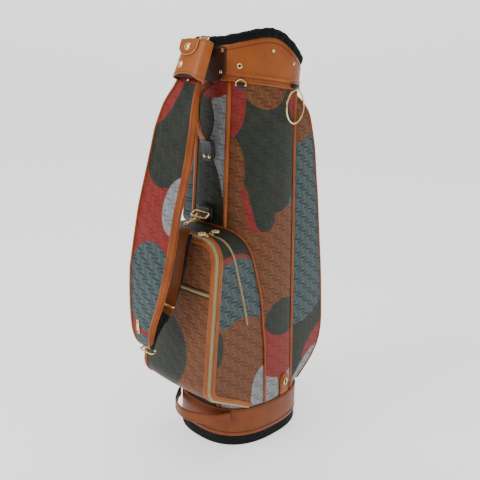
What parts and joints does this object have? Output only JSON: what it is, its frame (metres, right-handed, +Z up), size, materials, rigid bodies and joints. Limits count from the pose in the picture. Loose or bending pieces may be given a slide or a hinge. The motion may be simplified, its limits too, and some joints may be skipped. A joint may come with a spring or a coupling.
{
  "type": "golf staff bag",
  "caption": "Standing oval golf bag with a fleece-rimmed mouth and divided club wells, ball and garment pockets, a padded shoulder strap on snap hooks, and a rubber base.",
  "frame": {"origin": "centre of the rubber boot's flat underside, which the bag stands on", "axes": "+Z up along the bag, -Y towards the front with the shoulder strap and ball pocket, +X towards the plain side panel with the badge and the towel ring"},
  "size_m": [0.2466, 0.4481, 0.8946],
  "materials": {
    "rubber": "matt ribbed rubber boot",
    "plastic": "black moulded plastic",
    "tan_leather": "smooth tan synthetic leather, satin, edge-stitched",
    "dark_leather": "dark brown leather, satin",
    "black_leather": "black synthetic leather, glossy",
    "gold": "polished pale gold plating",
    "camo_canvas": "coated canvas printed in large soft patches of dark green, brown, red, teal and grey, with a pressed zig-zag relief",
    "zip_tape": "woven zip tape with gold coil",
    "fleece": "black fleece",
    "lining": "dark nylon lining",
    "aluminium": "drawn tube"
  },
  "bodies": {
    "bag": {"badge_ring": "gold", "badge_tab": "tan_leather", "ball_pocket_front": "camo_canvas", "ball_pocket_gusset": "camo_canvas", "ball_pocket_zip": "zip_tape", "base_belt": "tan_leather", "base_boot": "rubber", "base_handle": "tan_leather", "base_tray": "plastic", "carry_handle": "tan_leather", "centre_divider_bar": "fleece", "clip_tab": "black_leather", "collar_band": "tan_leather", "collar_frame": "plastic", "front_divider_bar": "fleece", "front_divider_sheet": "lining", "front_left_piping": "tan_leather", "front_panel": "camo_canvas", "front_right_piping": "tan_leather", "front_yoke": "dark_leather", "garment_pocket": "camo_canvas", "handle_chape": "black_leather", "left_panel": "camo_canvas", "left_stay_rod": "aluminium", "lower_ring": "gold", "lower_ring_tab": "black_leather", "rear_divider_bar": "fleece", "rear_divider_sheet": "lining", "rear_left_piping": "tan_leather", "rear_panel": "camo_canvas", "rear_right_piping": "tan_leather", "right_panel": "camo_canvas", "right_stay_rod": "aluminium", "rim_trim": "fleece", "side_pocket": "camo_canvas", "towel_tab": "black_leather", "upper_ring": "gold", "upper_ring_tab": "dark_leather"},
    "strap": {"strap_pad": "camo_canvas", "strap_sleeve": "tan_leather", "upper_hook": "gold", "strap_belt": "tan_leather", "adjuster_ring": "gold", "tail_buckle": "gold", "lower_hook": "gold"},
    "sleeve_flap": {"sleeve_flap": "tan_leather"},
    "lower_gate": {"lower_gate": "gold"},
    "towel_ring": {"towel_ring": "gold"},
    "clip_ring": {"clip_ring": "gold"},
    "main_slider": {"main_slider": "gold"},
    "main_pull": {"main_pull": "gold"},
    "gusset_slider": {"gusset_slider": "gold"},
    "gusset_pull": {"gusset_pull": "gold"},
    "front_slider": {"front_slider": "gold"},
    "front_pull": {"front_pull": "gold"},
    "garment_slider": {"garment_slider": "gold"},
    "garment_pull": {"garment_pull": "gold"},
    "side_slider": {"side_slider": "gold"},
    "side_pull": {"side_pull": "gold"}
  },
  "joints": [
    {"name": "strap_swing", "type": "hinge", "parent": "bag", "child": "strap", "pos_m": [0, -0.1325, 0.864], "axis": [0, 0.0163, 0.9999], "range_deg": [-3.5, 3.5]},
    {"name": "sleeve_flap_lift", "type": "hinge", "parent": "strap", "child": "sleeve_flap", "pos_m": [0, -0.15234, 0.86977], "axis": [-1, 0, 0], "range_deg": [0, 110]},
    {"name": "lower_gate_open", "type": "hinge", "parent": "strap", "child": "lower_gate", "pos_m": [0, -0.152, 0.5062], "axis": [1, 0, 0], "range_deg": [0, 12], "stiffness_Nm_per_rad": 0.01},
    {"name": "towel_ring_swing", "type": "hinge", "parent": "bag", "child": "towel_ring", "pos_m": [0.10217, 0.03679, 0.774], "axis": [0.165, -0.9863, 0], "range_deg": [0, 100]},
    {"name": "clip_ring_swing", "type": "hinge", "parent": "bag", "child": "clip_ring", "pos_m": [0.06783, -0.08984, 0.784], "axis": [0.7741, 0.6331, 0], "range_deg": [0, 150]},
    {"name": "main_slider_turn", "type": "hinge", "parent": "bag", "child": "main_slider", "pos_m": [0.06255, -0.171, 0.447], "axis": [0, 0.998, -0.063], "range_deg": [0, 88]},
    {"name": "main_pull_flip", "type": "hinge", "parent": "main_slider", "child": "main_pull", "pos_m": [0.06255, -0.171, 0.498], "axis": [-1, 0, 0], "range_deg": [0, 150]},
    {"name": "gusset_slider_turn", "type": "hinge", "parent": "bag", "child": "gusset_slider", "pos_m": [0.06211, -0.157, 0.447], "axis": [0, 1, 0], "range_deg": [0, 88]},
    {"name": "gusset_pull_flip", "type": "hinge", "parent": "gusset_slider", "child": "gusset_pull", "pos_m": [0.06211, -0.157, 0.499], "axis": [0.4472, -0.8944, 0], "range_deg": [0, 150]},
    {"name": "front_slider_slide", "type": "slide", "parent": "bag", "child": "front_slider", "axis": [1, 0, 0], "range_m": [0, 0.115]},
    {"name": "front_pull_flip", "type": "hinge", "parent": "front_slider", "child": "front_pull", "pos_m": [-0.06, -0.19512, 0.37944], "axis": [-1, 0, 0], "range_deg": [0, 150]},
    {"name": "garment_slider_slide", "type": "slide", "parent": "bag", "child": "garment_slider", "axis": [0, 0.1247, -0.9922], "range_m": [0, 0.345]},
    {"name": "garment_pull_flip", "type": "hinge", "parent": "garment_slider", "child": "garment_pull", "pos_m": [0.074, 0.13094, 0.63294], "axis": [1, 0, 0], "range_deg": [0, 150]},
    {"name": "side_slider_slide", "type": "slide", "parent": "bag", "child": "side_slider", "axis": [-0.124, 0, -0.9923], "range_m": [0, 0.2]},
    {"name": "side_pull_flip", "type": "hinge", "parent": "side_slider", "child": "side_pull", "pos_m": [-0.10868, 0.02, 0.71698], "axis": [0, 1, 0], "range_deg": [0, 150]}
  ]
}
